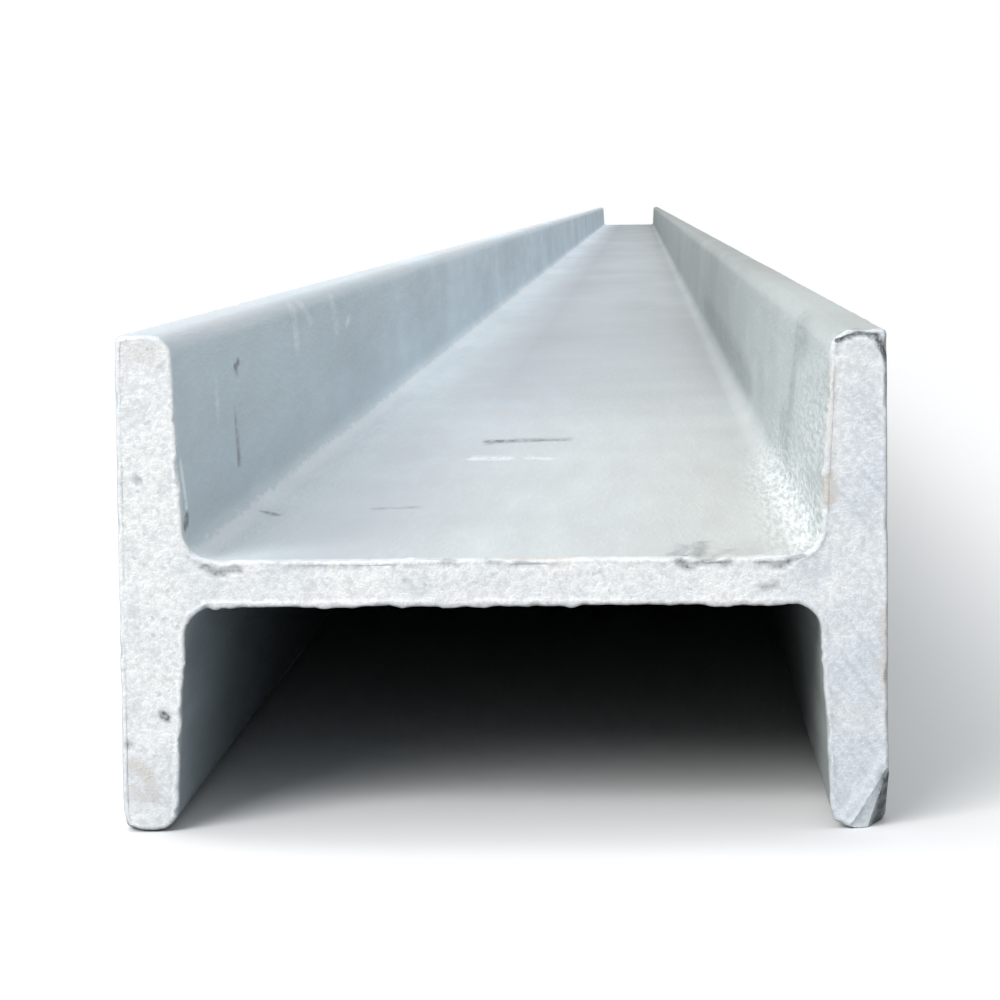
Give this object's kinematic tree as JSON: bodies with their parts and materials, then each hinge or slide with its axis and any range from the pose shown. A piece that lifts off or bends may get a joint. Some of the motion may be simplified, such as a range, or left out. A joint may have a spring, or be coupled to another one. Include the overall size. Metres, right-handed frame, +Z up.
{
  "type": "steel i-beam",
  "caption": "Hot-dip galvanised rolled steel i-beam: a web between wide flanges, in a straight stock length with plain sawn ends.",
  "frame": {"origin": "bottom centre of the bounding box: on the floor, under the middle of the beam's length", "axes": "+Y along the beam, away from the end that is looked at; +X across the section depth, from flange to flange; +Z up, along the flange width"},
  "size_m": [0.1, 6, 0.065],
  "materials": {
    "galvanised_steel": "hot-dip galvanised, weathered to a dull light blue-grey, with pale sawn ends"
  },
  "bodies": {
    "root": {"i_beam": "galvanised_steel"}
  },
  "joints": []
}
